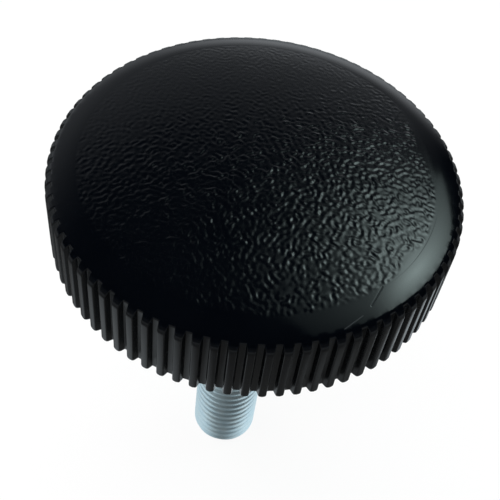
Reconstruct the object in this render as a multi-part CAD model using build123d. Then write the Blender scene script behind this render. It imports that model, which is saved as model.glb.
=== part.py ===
from build123d import *
import math
import os

# Clamping knob: a knurled plastic cap, moulded around the head of a threaded steel stud.
# Millimetres and degrees. +Z runs up the stud's axis towards the dome. The origin lies on that
# axis, in the plane of the hub's seat face, where the knob bears on whatever it clamps.

# Rim with straight ribs all round
rim_radius = 25.0  # over the rib crests
rim_height = 9.0  # from the rim's lower face to the tops of the crests
rim_wall = 3.0  # from the groove floors to the recess inside
rib_count = 80
rib_depth = 0.75
rib_crest = 0.4  # flat of a crest between its bevels
rib_bevel = 0.24  # along the crest and down the flank alike
rib_draft = 10.0  # angle between a flank and the radius through its crest

# Rounded shoulder, polished border and grained dome
shoulder_round = 2.2
shoulder_reach = 0.2  # how far the shoulder's round would stand out past the crests
border_slope = 17.0
border_width = 2.2
dome_rise = 2.55  # from the border's inner edge to the apex
cover_thickness = 3.0  # from the border's inner edge down to the recess

# Hub and webs under the cap
hub_proud = 2.0  # how far the seat face stands below the rim's lower face
hub_wall = 2.5  # outside the corners of the stud's head
hub_chamfer = 0.5
mouth_gap = 0.6  # clear ring round the thread at the hub's mouth
web_count = 8
web_thickness = 1.8
web_set_in = 1.0  # from the rim's lower face up to the webs' edges

# Threaded stud with a hexagonal head inside the hub
thread_radius = 5.0  # over the thread crests
stud_length = 50.0  # from the seat face to the tip
tip_chamfer = 1.0
neck_relief = 0.5  # how far the plain neck is inside the thread crests
head_across_flats = 16.0
head_height = 6.4
head_bed = 4.5  # plastic between the seat face and the head

# Levels and radii that follow from the sizes above
rim_z = hub_proud
crest_z = rim_z + rim_height
cap_radius = rim_radius + shoulder_reach
crest_slope = math.asin(1 - shoulder_reach / shoulder_round)
shoulder_z = crest_z - shoulder_round * math.cos(crest_slope)
slope = math.radians(border_slope)
outer_radius = cap_radius - shoulder_round * (1 - math.sin(slope))
outer_z = shoulder_z + shoulder_round * math.cos(slope)
inner_radius = outer_radius - border_width
inner_z = outer_z + border_width * math.tan(slope)
apex_z = inner_z + dome_rise
dome_radius = (inner_radius**2 + dome_rise**2) / (2 * dome_rise)
ceiling_z = inner_z - cover_thickness
recess_radius = rim_radius - rib_depth - rim_wall
neck_radius = thread_radius - neck_relief
hub_radius = head_across_flats / math.sqrt(3) + hub_wall
web_z = rim_z + web_set_in


def turned_cap():
    """The cap as a plain turned form: wall, shoulder and border, domed by a large sphere."""
    peak_z = inner_z + inner_radius * math.tan(slope)
    wall = Polyline((0, peak_z), (0, rim_z), (cap_radius, rim_z), (cap_radius, shoulder_z))
    shoulder = JernArc(wall @ 1, (0, 1), shoulder_round, 90 - border_slope)
    border = Line((outer_radius, outer_z), (0, peak_z))
    turned = revolve(Plane.XZ * make_face([*wall.edges(), shoulder, border]), Axis.Z)
    dome = Pos(0, 0, apex_z - dome_radius) * Rot(90, 0, 0) * Sphere(dome_radius)
    return turned & dome


def ribbed_outline():
    """The rim's outline seen along the axis: bevelled ribs and flat-floored grooves in turn."""
    crest_side = rib_crest / 2
    edge_side = crest_side + rib_bevel
    edge_radius = rim_radius - rib_bevel
    foot_radius = rim_radius - rib_depth
    foot_side = edge_side + (edge_radius - foot_radius) * math.tan(math.radians(rib_draft))
    half_rib = [(rim_radius, crest_side), (edge_radius, edge_side), (foot_radius, foot_side)]
    one_rib = [(x, -y) for x, y in reversed(half_rib)] + half_rib
    corners = []
    for rib in range(rib_count):
        corners += [Vector(x, y).rotate(Axis.Z, rib * 360 / rib_count) for x, y in one_rib]
    return make_face(Polyline(*corners, close=True))


def upright(radius, low, high):
    """A round bar on the axis between two levels."""
    return Pos(0, 0, low) * Cylinder(radius, high - low, align=(Align.CENTER, Align.CENTER, Align.MIN))


def recess():
    """The hollow between hub and rim, already parted by the webs."""
    hollow = upright(recess_radius, rim_z, ceiling_z) - upright(hub_radius, rim_z, ceiling_z)
    web_height = ceiling_z - web_z
    web_box = Box(recess_radius, web_thickness, web_height, align=(Align.MIN, Align.CENTER, Align.MIN))
    for web in range(web_count):
        hollow -= Rot(0, 0, (web + 1 / 2) * 360 / web_count) * Pos(0, 0, web_z) * web_box
    return hollow


def hub_end():
    """The end of the hub that stands proud of the rim, with a chamfered edge."""
    end = upright(hub_radius, 0, ceiling_z)
    return chamfer(end.edges().sort_by(Axis.Z)[0], hub_chamfer)


def hub_mouth():
    """The chamfered mouth of the hub, clear of the thread and closing on the neck."""
    mouth_radius = thread_radius + mouth_gap
    depth = mouth_radius - neck_radius
    return Cone(mouth_radius, neck_radius, depth, align=(Align.CENTER, Align.CENTER, Align.MIN))


def threaded_stud():
    """Shank over its thread crests, plain neck and hexagonal head, in one piece of steel."""
    shank = upright(thread_radius, -stud_length, 0)
    shank = chamfer(shank.edges().sort_by(Axis.Z)[0], tip_chamfer)
    neck = upright(neck_radius, 0, head_bed)
    hexagon = RegularPolygon(head_across_flats / 2, side_count=6, major_radius=False)
    head = extrude(Pos(0, 0, head_bed) * hexagon, head_height)
    return shank + neck + head


def knob_body(stud):
    """The whole moulding, with the stud's own form left out of it."""
    ribbed = extrude(Pos(0, 0, rim_z) * ribbed_outline(), apex_z - rim_z)
    cap = turned_cap() & ribbed
    return cap - recess() + hub_end() - hub_mouth() - stud


os.makedirs("parts", exist_ok=True)
stud = threaded_stud()
export_step(stud, "parts/threaded_stud.step")
export_step(knob_body(stud), "parts/knob_body.step")
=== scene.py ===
import math

import bpy
import numpy as np
from mathutils import Matrix, Quaternion, Vector

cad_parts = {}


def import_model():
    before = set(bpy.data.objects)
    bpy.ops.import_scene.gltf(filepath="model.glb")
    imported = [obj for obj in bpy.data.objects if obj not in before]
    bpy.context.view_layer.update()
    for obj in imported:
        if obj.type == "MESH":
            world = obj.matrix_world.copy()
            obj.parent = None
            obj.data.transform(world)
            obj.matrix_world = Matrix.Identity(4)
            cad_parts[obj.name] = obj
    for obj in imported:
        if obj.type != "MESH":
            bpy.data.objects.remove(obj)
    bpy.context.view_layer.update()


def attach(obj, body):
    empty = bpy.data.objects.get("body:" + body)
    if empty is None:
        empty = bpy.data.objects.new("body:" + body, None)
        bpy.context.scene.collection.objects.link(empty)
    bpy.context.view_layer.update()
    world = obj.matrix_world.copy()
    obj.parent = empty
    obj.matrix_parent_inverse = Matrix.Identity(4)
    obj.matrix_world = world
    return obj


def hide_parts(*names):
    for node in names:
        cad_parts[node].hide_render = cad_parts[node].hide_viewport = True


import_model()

# Clamping knob in black plastic with a zinc-plated stud. Sizes are in millimetres, in the frame
# of the solids: +Z runs up the stud's axis and the origin lies in the hub's seat face.
MM = 0.001
SHARP_ANGLE = math.radians(38)  # edges that turn further than this stay sharp
WELD_DECIMALS = 5  # points that agree to this many places are one

# Rim and ribs
RIM_RADIUS = 25.0
RIM_Z = 2.0
RIB_COUNT = 80
RIB_DEPTH = 0.75
RIB_CREST = 0.62  # flat of a crest between its rounded corners
RIB_CORNER = 0.16
RIB_DRAFT = math.radians(12)
GROOVE_ROUND = 0.06
CREST_EASE = 0.6  # how far up the shoulder its edge with a crest is rounded
GROOVE_EASE = 0.28  # the same at a groove
FOOT_ROUND = 0.28  # along the rim's lower edge
FOOT_CORNER = 1.2  # how much more it is rounded at the corners of the ribs, as a share
# Rounding of the lower edge: how far in and how high, as shares of its size
FOOT_SECTION = ((0, 1), (0.1, 0.55), (0.4, 0.2), (1, 0))
RIB_CORNER_POINTS = 4
GROOVE_ROUND_POINTS = 3

# Shoulder, border and dome
SHOULDER_RADIUS = 23.0  # centre of the shoulder's round
SHOULDER_Z = 10.0835
SHOULDER_ROUND = 2.2
BORDER_INNER = 21.4432
BORDER_INNER_Z = 12.86
BORDER_TILT = math.radians(12.6)  # at the border's inner edge
# Where rows of points lie across the border, the shoulder and its rounded edge with the ribs
BORDER_SHARES = (0.2, 0.4, 0.6, 0.8, 1)
SHOULDER_SHARES = (0.34, 0.67, 1)
EASE_SHARES = (0.25, 0.5, 0.75, 1)
APEX_Z = 15.41
DOME_RADIUS = (BORDER_INNER**2 + (APEX_Z - BORDER_INNER_Z) ** 2) / (2 * (APEX_Z - BORDER_INNER_Z))

# Underside
RECESS_RADIUS = 21.25
CEILING_Z = 9.86
WEB_COUNT = 8
WEB_THICKNESS = 1.8
WEB_Z = 3.0
WEB_STEPS = 4
POCKET_STEPS = 20
LIP_CHAMFER = 0.3  # round the recess's lower edge
HUB_RADIUS = 11.7376
HUB_CHAMFER = 0.5
MOUTH_RADIUS = 5.6
NECK_RADIUS = 4.5

# Stud
THREAD_RADIUS = 5.0
THREAD_PITCH = 1.5
THREAD_DEPTH = 0.2  # as faint as in the photograph, and shallower than a working thread
THREAD_TOP_Z = -1.2
THREAD_RUNOUT = 1.8
STUD_TIP_Z = -50.0
TIP_CHAMFER = 1.0
HEAD_Z = 4.5
HEAD_TOP_Z = 10.9
HEAD_ACROSS_FLATS = 16.0
STUD_STEPS = 72
# One pitch of the thread: height as a share of the pitch, depth as a share of the full depth
THREAD_SECTION = (
    (0.0, 0.0),
    (0.14, 0.06),
    (0.26, 0.28),
    (0.38, 0.72),
    (0.5, 1.0),
    (0.62, 0.72),
    (0.74, 0.28),
    (0.86, 0.06),
)

# Grain on the dome
GRAIN_RINGS = 146
GRAIN_RING_GAIN = 6  # points that each ring has more than the one inside it
GRAIN_STEP = 0.06  # between the samples of the grain's field
GRAIN_OVERHANG = 1  # how far the field reaches past the dome's edge
GRAIN_WAVELENGTH = 0.84
GRAIN_PATCHES = 2.4  # wavelength of broader patches, in which the grain is higher or lower
GRAIN_SPREAD = 0.55  # width of the band of wavelengths, as a share
GRAIN_FLATNESS = 1.3  # the higher, the flatter the tops and valleys
GRAIN_HEIGHT = 0.036
GRAIN_PATCH_SWING = 0.35  # how much the height differs from patch to patch
GRAIN_PATCH_LIMITS = (0.25, 1.6)
GRAIN_BACK = 0.22  # share of the height that is left towards the back
GRAIN_BACK_LEAN = 0.4  # turns the fading from the back towards the left
GRAIN_BACK_SPAN = (-2, 14)
GRAIN_EDGE_LOSS = 0.25  # share of the height that is lost towards the dome's edge
GRAIN_EDGE_SPAN = (12, 19)
GRAIN_MARGIN = 0.05  # smooth strip inside the dome's edge
GRAIN_FADE = 0.35  # distance over which the grain dies away
GRAIN_SEED = 5
# Stretches where the grain stops short of the dome's edge: angle, half width and depth
GRAIN_BAYS = (
    (math.radians(-31.5), math.radians(4.5), 0.95),
    (math.radians(17), math.radians(16), 1.2),
)

# Fine line along the dome's edge at the right
LINE_DEPTH = 0.018
LINE_ANGLE = math.radians(-20)
LINE_REACH = math.radians(13)
# Rows of points beside and in the line: distance from the dome's edge, share of the line's depth
LINE_ROWS = ((0.03, 0), (0.08, 1), (0.13, 0), (0.2, 0))

# Black plastic
PLASTIC_DARK = (0.0003, 0.0007, 0.0016, 1)
PLASTIC_LIGHT = (0.0007, 0.0012, 0.0022, 1)
PLASTIC_WORN = (0.016, 0.018, 0.02, 1)
PLASTIC_IOR = 1.5
PLASTIC_ROUGHNESS = 0.21
# What parts of the surface add to the roughness
FLANK_ROUGHNESS = 0.05
DOME_ROUGHNESS = -0.01
BORDER_ROUGHNESS = -0.09
CLOUD_ROUGHNESS = 0.10
PORE_ROUGHNESS = 0.08
SCRATCH_ROUGHNESS = 0.4
# Noise: scale per millimetre, detail and roughness
CLOUD_NOISE = (0.22, 3.0, 0.5)
PORE_NOISE = (7.0, 3.0, 0.6)
PORE_HEIGHT = 0.0012
DOME_PORE_HEIGHT = 0.003
RIB_TOP_SPAN = (10.5, 11.5)  # heights over which the ribs give way to the shoulder
DOME_EDGE_FADE = 0.7  # distance over which the dome's finish gives way to the border's
FLANK_SPAN = (0.3, 0.7)  # how far sideways a face looks before it counts as a rib's flank
PALE_SCRATCH_WIDTH = 0.09
DARK_SCRATCH_WIDTH = 0.15
DARK_SCRATCH_DEPTH = 0.01
SCRATCH_CORE = 0.35  # share of a scratch's width that has its full depth
# Ends of each scratch: radius, then degrees from the front towards the right
PALE_SCRATCH = ((23.75, 28.5), (23.14, 34.6))
DARK_SCRATCH = ((21.44, 44.6), (22.58, 38.3))

# Zinc plating
ZINC_COOL = (0.66, 0.82, 0.88, 1)
ZINC_PALE = (0.76, 0.89, 0.92, 1)
ZINC_ROUGHNESS = 0.38
ZINC_ROUGHNESS_SWING = 0.2
ZINC_CLOUD_NOISE = (0.55, 4.0, 0.6)
ZINC_CLOUD_SPAN = (0.35, 0.65)
ZINC_GRAIN_NOISE = (11.0, 3.0, 0.65)
ZINC_GRAIN_HEIGHT = 0.006

# Floor: its paint, and the painted light and shade that it shows only in reflections
WHITE = (1, 1, 1, 1)
FLOOR_HALF = 4000
FLOOR_GAP = 0.02  # keeps the floor clear of the stud's flat end
FLOOR_PAINT = (0.94, 0.94, 0.94, 1)
FLOOR_GLOW_SHARE = 0.92  # the rest is paint, which takes the object's shadow
# tint of the floor's painted reflections
PAINTED_REFLECTION_TINT = (0.84, 0.94, 1.0, 1)
# painted shade: how dimly the floor glows in reflections outside its painted light
REFLECTED_FLOOR_SHADE = 0.02
# Painted pools of light, seen only in reflections: middle, full and fading radius, level
PAINTED_REFLECTION_POOLS = (
    ((-46, -38), 10, 54, 0.4),
    ((-15, 2), 11, 20, 0.85),
    ((15, 4), 11, 21, 1.0),
    ((0, -13), 5, 15, 0.18),
    ((40, -38), 5, 22, 0.14),
    ((55, 13), 6, 27, 0.8),
    ((56, 62), 8, 30, 0.12),
)
# Painted light in reflections grows towards the back, less so at the far left, and not on the right, which
# keeps painted shade
PAINTED_BACK_LIGHT = 0.5
PAINTED_BACK_LIGHT_SPAN = (70, 400)
PAINTED_LIGHT_FAR_LEFT = 0.1
PAINTED_LIGHT_FAR_LEFT_SPAN = (-220, -60)
PAINTED_SHADE_SIDE_LEAN = 0.58
PAINTED_SHADE_SIDE_SPAN = (-20, 20)
# Painted light in reflections also grows a little all round, away from the object
PAINTED_FAR_LIGHT = 0.18
PAINTED_FAR_LIGHT_SPAN = (120, 220)

# Room: levels, and the spans of direction in which they begin and end
ROOM_COLOUR = (0.90, 0.95, 1.0, 1)
ROOM_DARK = 0.008
ROOM_BACK_SPAN = (0.0, 0.7)
ROOM_LEAN = 1.73  # turns the lit part of the room from the back towards the left
ROOM_LEAN_SPAN = (-0.2, 0.4)
ROOM_WALL = 0.2
ROOM_WALL_RISE = (0.35, 0.85)
ROOM_WALL_LEFT = 1.4
ROOM_WALL_LEFT_SPAN = (-0.6, -0.2)
ROOM_LOW = 0.75
ROOM_LOW_RISE = (0.08, 0.32)
ROOM_LOW_LEFT = 0.3
ROOM_LOW_LEFT_SPAN = (-0.35, 0.0)
ROOM_FRONT = 0.07
ROOM_FRONT_SPAN = (-0.5, 0.0)
ROOM_FRONT_RISE = (0.3, 0.6)

# Lamps
KEY_AZIMUTH = 33.8
KEY_ELEVATION = 54
KEY_ROLL = -1.8
KEY_DISTANCE = 550
KEY_SIZE = (400, 500)
KEY_RADIANCE = 6.2
KEY_COLOUR = (0.8, 1.0, 0.98)
# The key's diffuser is brightest near its middle and dimmer in its upper half
KEY_MIDDLE = (-22, -63)
KEY_REACH = 123
KEY_UPPER = (-31, 72)  # where the upper half begins and is fully dim
KEY_UPPER_LEVEL = 0.3
FILL_AZIMUTH = 180
FILL_ELEVATION = 75
FILL_DISTANCE = 1200
FILL_SIZE = (1600, 1600)
FILL_RADIANCE = 3.6
FILL_COLOUR = (1, 1, 1)

# Camera, fitted to the photograph's 500 x 500 frame
IMAGE_SIDE = 500
CAMERA_ELEVATION = math.radians(50.329)
CAMERA_ROLL = math.radians(7.989)
CAMERA_DISTANCE = 118.76
FOCAL_PIXELS = 932.953
TARGET = Vector((0, 0, RIM_Z))
TARGET_PIXEL = (250.776, 223.426)
SENSOR_WIDTH = 36
CLIP_NEAR = 0.001
CLIP_FAR = 100


class Skin:
    """Points and faces of one closed piece, gathered ring by ring in millimetres.

    Rings run anticlockwise seen from above. Faces between two rings look outwards when the rings
    are given in order along the section: from the apex out, down the rim and in again below."""

    def __init__(self):
        self.points = []
        self.faces = []
        self.count = 0

    def ring(self, points):
        points = np.asarray(points, float)
        self.points.append(points)
        self.count += len(points)
        return np.arange(self.count - len(points), self.count)

    def circle(self, radius, z, angles):
        radius = np.broadcast_to(radius, angles.shape)
        z = np.broadcast_to(z, angles.shape)
        return self.ring(np.column_stack((radius * np.cos(angles), radius * np.sin(angles), z)))

    def strip(self, a, b):
        """Quads between two open rows with equally many points."""
        self.faces += zip(a[:-1], b[:-1], b[1:], a[1:])

    def band(self, a, b):
        """Quads between two closed rings with equally many points."""
        self.strip(np.append(a, a[0]), np.append(b, b[0]))

    def sections(self, first, angles, *rows):
        """Bands from one ring through further rings, each given as radius and height."""
        last = first
        for radius, z in rows:
            row = self.circle(radius, z, angles)
            self.band(last, row)
            last = row
        return last

    def cover(self, a, z, up):
        """Flat triangles from a closed ring to a point on the axis."""
        centre = [self.ring([(0, 0, z)])[0]] * len(a)
        following = np.roll(a, -1)
        self.faces += zip(a, following, centre) if up else zip(following, a, centre)

    def zipper(self, a, b, a_angles, b_angles):
        """Triangles between two closed rings with different numbers of points."""
        start = int(np.searchsorted(a_angles, b_angles[0]))
        a = np.roll(a, -start)
        a_angles = np.concatenate((a_angles[start:], a_angles[: start + 1] + math.tau))
        b_angles = np.append(b_angles, b_angles[0] + math.tau)
        n, m = len(a), len(b)
        i, j = 0, 0
        while i < n or j < m:
            if j == m or (i < n and a_angles[i + 1] + a_angles[i] <= b_angles[j + 1] + b_angles[j]):
                self.faces.append((a[i], b[j % m], a[(i + 1) % n]))
                i += 1
            else:
                self.faces.append((a[i % n], b[j], b[(j + 1) % m]))
                j += 1

    def build(self, name, sharp_angle):
        """A smooth-shaded object in metres, with coincident points welded."""
        rounded = np.round(np.concatenate(self.points), WELD_DECIMALS)
        points, welded = np.unique(rounded, axis=0, return_inverse=True)
        welded = welded.ravel()
        corners = (list(dict.fromkeys(welded[list(face)].tolist())) for face in self.faces)
        mesh = bpy.data.meshes.new(name)
        mesh.from_pydata(points * MM, [], [c for c in corners if len(c) > 2])
        mesh.validate()
        mesh.shade_smooth()
        mesh.set_sharp_from_angle(angle=sharp_angle)
        piece = bpy.data.objects.new(name, mesh)
        bpy.context.scene.collection.objects.link(piece)
        return piece


def smooth_step(x, low, high):
    t = np.clip((x - low) / (high - low), 0, 1)
    return t * t * (3 - 2 * t)


def even_angles(count):
    return np.arange(count) * math.tau / count


def grain_field(extent, step, wavelength, spread, seed):
    """Square field of worm-like grain with unit spread: noise kept in one band of wavelengths."""
    side = int(2 * extent / step)
    noise = np.random.default_rng(seed).standard_normal((side, side))
    frequency = np.fft.fftfreq(side, step)
    size = np.hypot(frequency[:, None], frequency[None, :])
    keep = np.exp(-(((size * wavelength - 1) / spread) ** 2))
    field = np.fft.ifft2(np.fft.fft2(noise) * keep).real
    return field / field.std()


def sample_field(field, extent, x, y):
    """Bilinear samples of a square field that spans plus and minus extent."""
    u = (x + extent) / (2 * extent) * (len(field) - 1)
    v = (y + extent) / (2 * extent) * (len(field) - 1)
    i, j = u.astype(int), v.astype(int)
    s, t = u - i, v - j
    near = field[i, j] * (1 - s) + field[i + 1, j] * s
    reflected_far_light = field[i, j + 1] * (1 - s) + field[i + 1, j + 1] * s
    return near * (1 - t) + reflected_far_light * t


def bell(angles, middle, reach):
    """One at the middle angle, falling away smoothly to both sides."""
    offset = (angles - middle + math.pi) % math.tau - math.pi
    return np.exp(-((offset / reach) ** 2))


def border_arc():
    """The border's slight crown, an arc from the dome's edge that runs smoothly into the shoulder.

    Gives the arc's radius, its middle as radius and height, and its tilt at the shoulder."""
    inner = Vector((BORDER_INNER - SHOULDER_RADIUS, BORDER_INNER_Z - SHOULDER_Z))
    normal = Vector((math.sin(BORDER_TILT), math.cos(BORDER_TILT)))
    crown = (inner.length_squared - SHOULDER_ROUND**2) / (2 * (inner.dot(normal) - SHOULDER_ROUND))
    middle = inner - crown * normal
    tilt = math.atan2(-middle.x, -middle.y)
    return crown, (SHOULDER_RADIUS + middle.x, SHOULDER_Z + middle.y), tilt


def border_height(radius):
    """Height of the border and shoulder at a radius."""
    crown, middle, tilt = border_arc()
    if radius < SHOULDER_RADIUS + SHOULDER_ROUND * math.sin(tilt):
        return middle[1] + math.sqrt(crown**2 - (radius - middle[0]) ** 2)
    return SHOULDER_Z + math.sqrt(SHOULDER_ROUND**2 - (radius - SHOULDER_RADIUS) ** 2)


def grain_edge(angles):
    """Radius at which the grain has died away."""
    bays = sum(depth * bell(angles, middle, width) for middle, width, depth in GRAIN_BAYS)
    return BORDER_INNER - GRAIN_MARGIN - bays


def dome(skin):
    """The grained dome as rings with ever more points, so that its triangles are all alike."""
    extent = BORDER_INNER + GRAIN_OVERHANG
    fine = grain_field(extent, GRAIN_STEP, GRAIN_WAVELENGTH, GRAIN_SPREAD, GRAIN_SEED)
    broad = grain_field(extent, GRAIN_STEP, GRAIN_PATCHES, GRAIN_SPREAD, GRAIN_SEED + 1)
    last, last_angles = None, None
    for k in range(GRAIN_RINGS, 0, -1):
        radius = BORDER_INNER * k / GRAIN_RINGS
        angles = even_angles(GRAIN_RING_GAIN * k)
        x, y = radius * np.cos(angles), radius * np.sin(angles)
        worms = np.tanh(GRAIN_FLATNESS * sample_field(fine, extent, x, y))
        swing = GRAIN_PATCH_SWING * sample_field(broad, extent, x, y)
        strength = np.clip(1 + swing, *GRAIN_PATCH_LIMITS)
        strength *= 1 - (1 - GRAIN_BACK) * smooth_step(y - GRAIN_BACK_LEAN * x, *GRAIN_BACK_SPAN)
        strength *= 1 - GRAIN_EDGE_LOSS * smooth_step(radius, *GRAIN_EDGE_SPAN)
        edge = grain_edge(angles)
        fade = 1 - smooth_step(radius, edge - GRAIN_FADE, edge)
        smooth = APEX_Z - DOME_RADIUS + math.sqrt(DOME_RADIUS**2 - radius**2)
        ring = skin.circle(radius, smooth + GRAIN_HEIGHT * worms * strength * fade, angles)
        if last is None:
            outer, outer_angles = ring, angles
        else:
            skin.zipper(ring, last, angles, last_angles)
        last, last_angles = ring, angles
    skin.cover(last, APEX_Z, up=True)
    return outer, outer_angles


def rib_outline():
    """Angles and radii of the whole rim's outline: rounded ribs and grooves in turn."""
    floor = RIM_RADIUS - RIB_DEPTH
    turns = np.linspace(0, math.pi / 2 - RIB_DRAFT, RIB_CORNER_POINTS)
    tip_x = RIM_RADIUS - RIB_CORNER * (1 - np.cos(turns))
    tip_y = RIB_CREST / 2 + RIB_CORNER * np.sin(turns)
    turns = np.linspace(RIB_DRAFT, math.pi / 2, GROOVE_ROUND_POINTS)
    foot_x = floor + GROOVE_ROUND * (1 - np.sin(turns))
    foot_y = tip_y[-1] + (tip_x[-1] - foot_x[0]) * math.tan(RIB_DRAFT)
    foot_y = foot_y + GROOVE_ROUND * (math.cos(RIB_DRAFT) - np.cos(turns))
    x = np.concatenate(([RIM_RADIUS], tip_x, foot_x))
    y = np.concatenate(([0], tip_y, foot_y))
    pitch = math.tau / RIB_COUNT
    half = np.arctan2(y, x)
    angles = np.concatenate((half, [pitch / 2], pitch - half[:0:-1]))
    radii = np.hypot(x, y)
    radii = np.concatenate((radii, [floor], radii[:0:-1]))
    starts = np.arange(RIB_COUNT) * pitch
    return (starts[:, None] + angles[None, :]).ravel(), np.tile(radii, RIB_COUNT)


def cap(skin):
    """Dome, border, shoulder, ribs and the rim's lower edge."""
    dome_ring, dome_angles = dome(skin)
    rib_angles, outline = rib_outline()
    even = even_angles(len(rib_angles))
    crown, middle, tilt = border_arc()
    outer = SHOULDER_RADIUS + SHOULDER_ROUND * math.sin(tilt)
    line = LINE_DEPTH * bell(even, LINE_ANGLE, LINE_REACH)
    last = None
    for offset, depth in LINE_ROWS:
        radius = BORDER_INNER + offset
        row = skin.circle(radius, border_height(radius) - depth * line, even)
        if last is None:
            skin.zipper(dome_ring, row, dome_angles, even)
        else:
            skin.band(last, row)
        last = row
    first = radius
    for share in BORDER_SHARES:
        radius = first + share * (outer - first)
        last = skin.sections(last, even + share * (rib_angles - even), (radius, border_height(radius)))
    start = math.pi / 2 - tilt
    crest_share = (outline - RIM_RADIUS + RIB_DEPTH) / RIB_DEPTH
    ease = GROOVE_EASE + (CREST_EASE - GROOVE_EASE) * crest_share
    stop = np.arccos((outline - SHOULDER_RADIUS) / SHOULDER_ROUND) + ease / SHOULDER_ROUND
    for share in SHOULDER_SHARES:
        turn = start + share * (stop - start)
        radius = SHOULDER_RADIUS + SHOULDER_ROUND * np.cos(turn)
        z = SHOULDER_Z + SHOULDER_ROUND * np.sin(turn)
        last = skin.sections(last, rib_angles, (radius, z))
    reach = (outline - radius) / np.sin(stop)
    corner_z = z - reach * np.cos(stop)
    for share in EASE_SHARES:
        a, b, c = (1 - share) ** 2, 2 * share * (1 - share), share**2
        eased_z = a * z + b * corner_z + c * (corner_z - reach)
        last = skin.sections(last, rib_angles, (a * radius + (b + c) * outline, eased_z))
    pitch = math.tau / RIB_COUNT
    aside = np.abs((rib_angles + pitch / 2) % pitch - pitch / 2) * RIM_RADIUS
    corner = np.clip(aside / (RIB_CREST / 2 + RIB_CORNER), 0, 1) ** 2 * crest_share
    foot = FOOT_ROUND * (1 + FOOT_CORNER * corner)
    rows = ((outline - inset * foot, RIM_Z + height * foot) for inset, height in FOOT_SECTION)
    return skin.sections(last, rib_angles, *rows), rib_angles


def web_angles(radius):
    """Angles round a ring that meet the webs' flat sides at this radius."""
    side = math.asin(WEB_THICKNESS / 2 / radius)
    sector = math.tau / WEB_COUNT
    web = np.linspace(-side, side, WEB_STEPS, endpoint=False)
    pocket = np.linspace(side, sector - side, POCKET_STEPS, endpoint=False)
    starts = (np.arange(WEB_COUNT) + 0.5) * sector
    return (starts[:, None] + np.append(web, pocket)[None, :]).ravel()


def hexagon(angles):
    """Radius of the stud's hexagonal head at these angles, with corners on the X axis."""
    sixth = math.tau / 6
    return HEAD_ACROSS_FLATS / 2 / np.cos(angles % sixth - sixth / 2)


def underside(skin, rim, rim_angles):
    """Rim's lower face, recess with its webs, hub, mouth and the bed of the stud's head."""
    recess_angles = web_angles(RECESS_RADIUS)
    hub_angles = web_angles(HUB_RADIUS)
    lip = skin.circle(RECESS_RADIUS + LIP_CHAMFER, RIM_Z, recess_angles)
    skin.zipper(rim, lip, rim_angles, recess_angles)
    outer = skin.sections(lip, recess_angles, (RECESS_RADIUS, RIM_Z + LIP_CHAMFER), (RECESS_RADIUS, WEB_Z))
    inner = skin.circle(HUB_RADIUS, WEB_Z, hub_angles)
    sector = WEB_STEPS + POCKET_STEPS
    for first in range(0, WEB_COUNT * sector, sector):
        edge = np.arange(first, first + WEB_STEPS + 1)
        skin.strip(outer[edge], inner[edge])
        around = np.arange(first + WEB_STEPS, first + sector + 1) % len(outer)
        outer_top = skin.circle(RECESS_RADIUS, CEILING_Z, recess_angles[around])
        inner_top = skin.circle(HUB_RADIUS, CEILING_Z, hub_angles[around])
        skin.strip(outer[around], outer_top)
        skin.strip(outer_top, inner_top)
        skin.strip(inner_top, inner[around])
        near, reflected_far_light = around[0], around[-1]
        skin.faces.append((outer[near], inner[near], inner_top[0], outer_top[0]))
        skin.faces.append((outer[reflected_far_light], outer_top[-1], inner_top[-1], inner[reflected_far_light]))
    seat = skin.sections(inner, hub_angles, (HUB_RADIUS, HUB_CHAMFER), (HUB_RADIUS - HUB_CHAMFER, 0))
    bore_angles = even_angles(STUD_STEPS)
    mouth = skin.circle(MOUTH_RADIUS, 0, bore_angles)
    skin.zipper(seat, mouth, hub_angles, bore_angles)
    head = hexagon(bore_angles)
    bed = skin.sections(
        mouth,
        bore_angles,
        (NECK_RADIUS, MOUTH_RADIUS - NECK_RADIUS),
        (NECK_RADIUS, HEAD_Z),
        (head, HEAD_Z),
        (head, HEAD_TOP_Z),
    )
    skin.cover(bed, HEAD_TOP_Z, up=False)


def knob_body():
    skin = Skin()
    rim, rim_angles = cap(skin)
    underside(skin, rim, rim_angles)
    return skin.build("knob_moulding", SHARP_ANGLE)


def threaded_stud():
    """The stud with a right-hand thread, whose rows follow the helix."""
    skin = Skin()
    angles = even_angles(STUD_STEPS)
    head = hexagon(angles)
    top = skin.circle(head, HEAD_TOP_Z, angles)
    skin.cover(top, HEAD_TOP_Z, up=True)
    skin.sections(
        top,
        angles,
        (head, HEAD_Z),
        (NECK_RADIUS, HEAD_Z),
        (NECK_RADIUS, 0),
        (THREAD_RADIUS, 0),
        (THREAD_RADIUS, THREAD_TOP_Z),
    )
    rise = THREAD_PITCH * angles / math.tau
    turns = math.ceil((THREAD_TOP_Z - STUD_TIP_Z) / THREAD_PITCH) + 2
    rows = []
    for turn in range(turns):
        for height, depth in THREAD_SECTION:
            z = STUD_TIP_Z + (turn - 1 + height) * THREAD_PITCH + rise
            fade = 1 - smooth_step(z, THREAD_TOP_Z - THREAD_RUNOUT, THREAD_TOP_Z)
            z = np.clip(z, STUD_TIP_Z, THREAD_TOP_Z)
            radius = THREAD_RADIUS - THREAD_DEPTH * depth * fade
            radius = np.minimum(radius, THREAD_RADIUS - TIP_CHAMFER + z - STUD_TIP_Z)
            rows.append(skin.circle(radius, z, angles))
    turn = len(THREAD_SECTION)
    for low, high, next_low, next_high in zip(rows, rows[1:], rows[turn:], rows[turn + 1:]):
        skin.strip(np.append(high, next_high[0]), np.append(low, next_low[0]))
    skin.cover(rows[0], STUD_TIP_Z, up=False)
    return skin.build("stud", SHARP_ANGLE)


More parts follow.
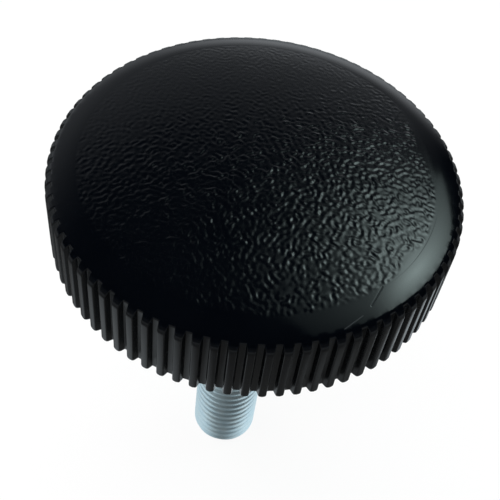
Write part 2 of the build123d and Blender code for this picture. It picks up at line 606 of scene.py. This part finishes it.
class Graph:
    """Short ways to add and join shader nodes."""

    def __init__(self, tree):
        self.tree = tree
        tree.nodes.clear()

    def add(self, kind, inputs=(), **settings):
        node = self.tree.nodes.new("ShaderNode" + kind)
        for name, value in settings.items():
            setattr(node, name, value)
        for socket, value in dict(inputs).items():
            if isinstance(value, bpy.types.NodeSocket):
                self.tree.links.new(value, node.inputs[socket])
            else:
                node.inputs[socket].default_value = value
        return node

    def math(self, operation, *values):
        return self.add("Math", enumerate(values), operation=operation).outputs[0]

    def vector(self, operation, *values):
        node = self.add("VectorMath", enumerate(values), operation=operation)
        return node.outputs["Value" if operation in ("LENGTH", "DOT_PRODUCT", "DISTANCE") else "Vector"]

    def ramp(self, value, low, high, at_low=0.0, at_high=1.0):
        """A smooth step from one value to another."""
        sockets = {"Value": value, "From Min": low, "From Max": high, "To Min": at_low, "To Max": at_high}
        return self.add("MapRange", sockets, interpolation_type="SMOOTHSTEP").outputs[0]

    def noise(self, place, scale, detail, roughness):
        sockets = {"Vector": place, "Scale": scale, "Detail": detail, "Roughness": roughness}
        return self.add("TexNoise", sockets).outputs["Fac"]

    def swing(self, noise, amount):
        """Noise, which runs from zero to one, as a value about zero."""
        return self.math("MULTIPLY", self.math("SUBTRACT", noise, 0.5), amount)

    def sum(self, *values):
        total = values[0]
        for value in values[1:]:
            total = self.math("ADD", total, value)
        return total

    def millimetres(self):
        """The object's own coordinates in millimetres."""
        place = self.add("TexCoord").outputs["Object"]
        return self.add("VectorMath", {0: place, "Scale": 1 / MM}, operation="SCALE").outputs["Vector"]


def new_material(name):
    material = bpy.data.materials.new(name)
    material.use_nodes = True
    return material, Graph(material.node_tree)


def border_point(radius, degrees):
    """A point on the border or shoulder, with its angle counted from the front towards the right."""
    turn = math.radians(degrees)
    return Vector((radius * math.sin(turn), -radius * math.cos(turn), border_height(radius)))


def scratch_mask(graph, place, start, end, width):
    """One along a straight scratch on the border, fading to zero beside it and at its ends."""
    start = border_point(*start)
    along = border_point(*end) - start
    offset = graph.vector("SUBTRACT", place, start)
    share = graph.math("DIVIDE", graph.vector("DOT_PRODUCT", offset, along), along.length_squared)
    share = graph.math("MINIMUM", graph.math("MAXIMUM", share, 0.0), 1.0)
    nearest = graph.add("VectorMath", {0: along, "Scale": share}, operation="SCALE").outputs["Vector"]
    return graph.ramp(graph.vector("DISTANCE", offset, nearest), SCRATCH_CORE * width, width, 1.0, 0.0)


def black_plastic():
    """Moulded black plastic: polished border, satin dome and ribs, fine mottling and two scratches."""
    material, graph = new_material("black_plastic")
    place = graph.millimetres()
    parts = graph.add("SeparateXYZ", {0: place}).outputs
    flat = graph.add("CombineXYZ", {0: parts[0], 1: parts[1]}).outputs[0]
    radius = graph.vector("LENGTH", flat)
    above = graph.ramp(parts[2], *RIB_TOP_SPAN)
    inside = graph.ramp(radius, BORDER_INNER - DOME_EDGE_FADE, BORDER_INNER, 1.0, 0.0)
    on_dome = graph.math("MULTIPLY", above, inside)
    on_border = graph.math("SUBTRACT", above, on_dome)
    pores = graph.noise(place, *PORE_NOISE)
    clouds = graph.noise(place, *CLOUD_NOISE)
    pale = scratch_mask(graph, place, *PALE_SCRATCH, PALE_SCRATCH_WIDTH)
    dark = scratch_mask(graph, place, *DARK_SCRATCH, DARK_SCRATCH_WIDTH)
    normal = graph.add("NewGeometry").outputs["Normal"]
    around = graph.vector("NORMALIZE", graph.vector("CROSS_PRODUCT", (0, 0, 1), flat))
    sideways = graph.math("ABSOLUTE", graph.vector("DOT_PRODUCT", normal, around))
    on_flank = graph.math("MULTIPLY", graph.ramp(sideways, *FLANK_SPAN), graph.math("SUBTRACT", 1.0, above))
    roughness = graph.sum(
        PLASTIC_ROUGHNESS,
        graph.math("MULTIPLY", on_flank, FLANK_ROUGHNESS),
        graph.math("MULTIPLY", on_dome, DOME_ROUGHNESS),
        graph.math("MULTIPLY", on_border, BORDER_ROUGHNESS),
        graph.swing(clouds, CLOUD_ROUGHNESS),
        graph.swing(pores, PORE_ROUGHNESS),
        graph.math("MULTIPLY", dark, SCRATCH_ROUGHNESS),
    )
    height = graph.sum(
        graph.math("MULTIPLY", pores, PORE_HEIGHT),
        graph.math("MULTIPLY", graph.math("MULTIPLY", pores, on_dome), DOME_PORE_HEIGHT),
        graph.math("MULTIPLY", dark, -DARK_SCRATCH_DEPTH),
    )
    bump = graph.add("Bump", {"Height": height, "Distance": MM, "Strength": 1.0})
    shade = graph.add("MixRGB", {0: clouds, 1: PLASTIC_DARK, 2: PLASTIC_LIGHT})
    worn = graph.add("MixRGB", {0: pale, 1: shade.outputs[0], 2: PLASTIC_WORN})
    plastic = graph.add(
        "BsdfPrincipled",
        {
            "Base Color": worn.outputs[0],
            "Roughness": roughness,
            "IOR": PLASTIC_IOR,
            "Normal": bump.outputs[0],
        },
    )
    graph.add("OutputMaterial", {0: plastic.outputs[0]})
    return material


def zinc():
    """Bluish zinc plating: a metal with cloudy gloss and fine grain."""
    material, graph = new_material("zinc_plated_steel")
    place = graph.millimetres()
    clouds = graph.noise(place, *ZINC_CLOUD_NOISE)
    grain = graph.noise(place, *ZINC_GRAIN_NOISE)
    colour = graph.add("MixRGB", {0: graph.ramp(clouds, *ZINC_CLOUD_SPAN), 1: ZINC_COOL, 2: ZINC_PALE})
    roughness = graph.sum(
        ZINC_ROUGHNESS,
        graph.swing(clouds, ZINC_ROUGHNESS_SWING),
        graph.swing(grain, ZINC_ROUGHNESS_SWING),
    )
    height = graph.math("MULTIPLY", grain, ZINC_GRAIN_HEIGHT)
    bump = graph.add("Bump", {"Height": height, "Distance": MM, "Strength": 1.0})
    metal = graph.add(
        "BsdfPrincipled",
        {
            "Base Color": colour.outputs[0],
            "Metallic": 1.0,
            "Roughness": roughness,
            "Normal": bump.outputs[0],
        },
    )
    graph.add("OutputMaterial", {0: metal.outputs[0]})
    return material


def seen_directly(graph):
    """One for rays from the camera, a reflection or a refraction, and zero for others."""
    path = graph.add("LightPath").outputs
    seen = graph.math("MAXIMUM", path["Is Camera Ray"], path["Is Glossy Ray"])
    return graph.math("MAXIMUM", seen, path["Is Transmission Ray"]), path


def floor():
    """A wide pale floor under the stud's tip, white to the camera but for the object's shadow.

    In reflections it glows dark as painted shade, with painted pools of light, and it is clear when seen
    from below."""
    mesh = bpy.data.meshes.new("floor")
    half = FLOOR_HALF * MM
    z = (STUD_TIP_Z - FLOOR_GAP) * MM
    corners = [(-half, -half, z), (half, -half, z), (half, half, z), (-half, half, z)]
    mesh.from_pydata(corners, [], [(0, 1, 2, 3)])
    piece = bpy.data.objects.new("floor", mesh)
    bpy.context.scene.collection.objects.link(piece)
    material, graph = new_material("pale_floor_painted_reflections")
    seen, path = seen_directly(graph)
    parts = graph.add("SeparateXYZ", {0: graph.millimetres()}).outputs
    beyond = graph.math("SUBTRACT", parts[0], graph.math("MULTIPLY", parts[1], PAINTED_SHADE_SIDE_LEAN))
    lit = graph.ramp(beyond, *PAINTED_SHADE_SIDE_SPAN, 1.0, 0.0)
    reflected_back_light = graph.ramp(parts[1], *PAINTED_BACK_LIGHT_SPAN, 0.0, PAINTED_BACK_LIGHT)
    reflected_back_light = graph.math("MULTIPLY", reflected_back_light, graph.ramp(parts[0], *PAINTED_LIGHT_FAR_LEFT_SPAN, PAINTED_LIGHT_FAR_LEFT, 1.0))
    # painted reflection: painted shade, with painted light towards the back and all round, seen only by
    # glossy rays
    painted_reflection = graph.sum(REFLECTED_FLOOR_SHADE, graph.math("MULTIPLY", lit, reflected_back_light))
    flat = graph.add("CombineXYZ", {0: parts[0], 1: parts[1]}).outputs[0]
    reflected_far_light = graph.ramp(graph.vector("LENGTH", flat), *PAINTED_FAR_LIGHT_SPAN, 0.0, PAINTED_FAR_LIGHT)
    painted_reflection = graph.math("MAXIMUM", painted_reflection, reflected_far_light)
    # painted pools of light, seen only in reflections
    for middle, full, fading, level in PAINTED_REFLECTION_POOLS:
        distance = graph.vector("DISTANCE", flat, (*middle, 0))
        painted_reflection = graph.math("MAXIMUM", painted_reflection, graph.ramp(distance, full, fading, level, 0.0))
    strength = graph.add("Mix", {0: path["Is Glossy Ray"], 2: 1.0, 3: painted_reflection}).outputs[0]
    tint = graph.add("MixRGB", {0: path["Is Glossy Ray"], 1: WHITE, 2: PAINTED_REFLECTION_TINT})
    glow = graph.add("Emission", {"Color": tint.outputs[0], "Strength": strength})
    paint = graph.add("BsdfDiffuse", {"Color": FLOOR_PAINT})
    share = graph.math("MULTIPLY", seen, FLOOR_GLOW_SHARE)
    mix = graph.add("MixShader", {0: share, 1: paint.outputs[0], 2: glow.outputs[0]})
    below = graph.add("NewGeometry").outputs["Backfacing"]
    clear = graph.add("BsdfTransparent").outputs[0]
    sheet = graph.add("MixShader", {0: below, 1: mix.outputs[0], 2: clear})
    graph.add("OutputMaterial", {0: sheet.outputs[0]})
    mesh.materials.append(material)


def world():
    """A dim studio room: dark overhead and to the right, grey along the back, white to the camera."""
    room = bpy.data.worlds.new("studio")
    bpy.context.scene.world = room
    room.use_nodes = True
    graph = Graph(room.node_tree)
    parts = graph.add("SeparateXYZ", {0: graph.add("TexCoord").outputs["Generated"]}).outputs
    leaning = graph.math("SUBTRACT", parts[1], graph.math("MULTIPLY", parts[0], ROOM_LEAN))
    behind = graph.math(
        "MULTIPLY", graph.ramp(leaning, *ROOM_LEAN_SPAN), graph.ramp(parts[1], *ROOM_BACK_SPAN)
    )
    wall = graph.math(
        "MULTIPLY",
        graph.ramp(parts[2], *ROOM_WALL_RISE, ROOM_WALL, 0.0),
        graph.ramp(parts[0], *ROOM_WALL_LEFT_SPAN, ROOM_WALL_LEFT, 1.0),
    )
    low = graph.math(
        "MULTIPLY",
        graph.ramp(parts[2], *ROOM_LOW_RISE, ROOM_LOW, 0.0),
        graph.ramp(parts[0], *ROOM_LOW_LEFT_SPAN, ROOM_LOW_LEFT, 1.0),
    )
    front = graph.math(
        "MULTIPLY",
        graph.ramp(parts[1], *ROOM_FRONT_SPAN, 1.0, 0.0),
        graph.ramp(parts[2], *ROOM_FRONT_RISE, ROOM_FRONT, 0.0),
    )
    level = graph.sum(ROOM_DARK, front, graph.math("MULTIPLY", behind, graph.math("ADD", wall, low)))
    path = graph.add("LightPath").outputs
    strength = graph.add("Mix", {0: path["Is Camera Ray"], 2: level, 3: 1.0}).outputs[0]
    colour = graph.add("MixRGB", {0: path["Is Camera Ray"], 1: ROOM_COLOUR, 2: WHITE})
    background = graph.add("Background", {0: colour.outputs[0], 1: strength})
    graph.add("OutputWorld", {0: background.outputs[0]})


def lamp(name, azimuth, elevation, roll, distance, size, radiance, colour):
    """A rectangular soft light that faces the dome; azimuth runs from +X towards +Y."""
    data = bpy.data.lights.new(name, "AREA")
    data.shape = "RECTANGLE"
    data.size = size[0] * MM
    data.size_y = size[1] * MM
    data.energy = radiance * math.pi * data.size * data.size_y
    data.color = colour
    piece = bpy.data.objects.new(name, data)
    az, el = math.radians(azimuth), math.radians(elevation)
    towards = Vector((math.cos(az) * math.cos(el), math.sin(az) * math.cos(el), math.sin(el)))
    piece.location = (Vector((0, 0, APEX_Z)) + distance * towards) * MM
    piece.rotation_mode = "QUATERNION"
    piece.rotation_quaternion = towards.to_track_quat("Z", "Y") @ Quaternion((0, 0, 1), math.radians(roll))
    bpy.context.scene.collection.objects.link(piece)
    return piece


def soften(light, size, middle, reach, upper, upper_level):
    """A diffuser over a lamp: brightest at one place, dying away around it, dimmer in the upper half."""
    light.data.use_nodes = True
    graph = Graph(light.data.node_tree)
    share = graph.add("NewGeometry").outputs["Parametric"]
    place = graph.vector("MULTIPLY", graph.vector("SUBTRACT", share, (0.5, 0.5, 0)), (*size, 0))
    away = graph.vector("DISTANCE", place, (*middle, 0))
    glow = graph.math("EXPONENT", graph.math("DIVIDE", away, -reach))
    height = graph.add("SeparateXYZ", {0: place}).outputs[1]
    level = graph.math("MULTIPLY", glow, graph.ramp(height, *upper, 1.0, upper_level))
    shine = graph.add("Emission", {"Strength": level})
    graph.add("OutputLight", {0: shine.outputs[0]})


def camera():
    """The photograph's view: from the front and above, with the object leaning a little."""
    back = Vector((0, -math.cos(CAMERA_ELEVATION), math.sin(CAMERA_ELEVATION)))
    right = Vector((1, 0, 0))
    up = back.cross(right)
    across = TARGET_PIXEL[0] - IMAGE_SIDE / 2
    down = TARGET_PIXEL[1] - IMAGE_SIDE / 2
    pan = math.atan2(across, FOCAL_PIXELS)
    tilt = math.atan2(down, math.hypot(FOCAL_PIXELS, across))
    level = Matrix((right, up, back))
    rolled = Matrix.Rotation(-CAMERA_ROLL, 3, "Z") @ level
    aimed = Matrix.Rotation(-pan, 3, "Y") @ Matrix.Rotation(-tilt, 3, "X") @ rolled
    data = bpy.data.cameras.new("camera")
    data.sensor_width = SENSOR_WIDTH
    data.lens = FOCAL_PIXELS * SENSOR_WIDTH / IMAGE_SIDE
    data.clip_start = CLIP_NEAR
    data.clip_end = CLIP_FAR
    piece = bpy.data.objects.new("camera", data)
    place = (TARGET + CAMERA_DISTANCE * back) * MM
    piece.matrix_world = Matrix.Translation(place) @ aimed.transposed().to_4x4()
    bpy.context.scene.collection.objects.link(piece)
    bpy.context.scene.camera = piece


def dress(piece, node, material):
    """The piece stands for a solid, rides on the body and takes one finish."""
    piece.data.materials.append(material)
    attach(piece, "root")
    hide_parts(node)


dress(knob_body(), "knob_body", black_plastic())
dress(threaded_stud(), "threaded_stud", zinc())
floor()
world()
key = lamp("key", KEY_AZIMUTH, KEY_ELEVATION, KEY_ROLL, KEY_DISTANCE, KEY_SIZE, KEY_RADIANCE, KEY_COLOUR)
soften(key, KEY_SIZE, KEY_MIDDLE, KEY_REACH, KEY_UPPER, KEY_UPPER_LEVEL)
fill = lamp("fill", FILL_AZIMUTH, FILL_ELEVATION, 0, FILL_DISTANCE, FILL_SIZE, FILL_RADIANCE, FILL_COLOUR)
fill.visible_glossy = False
camera()
bpy.context.scene.view_settings.view_transform = "Standard"
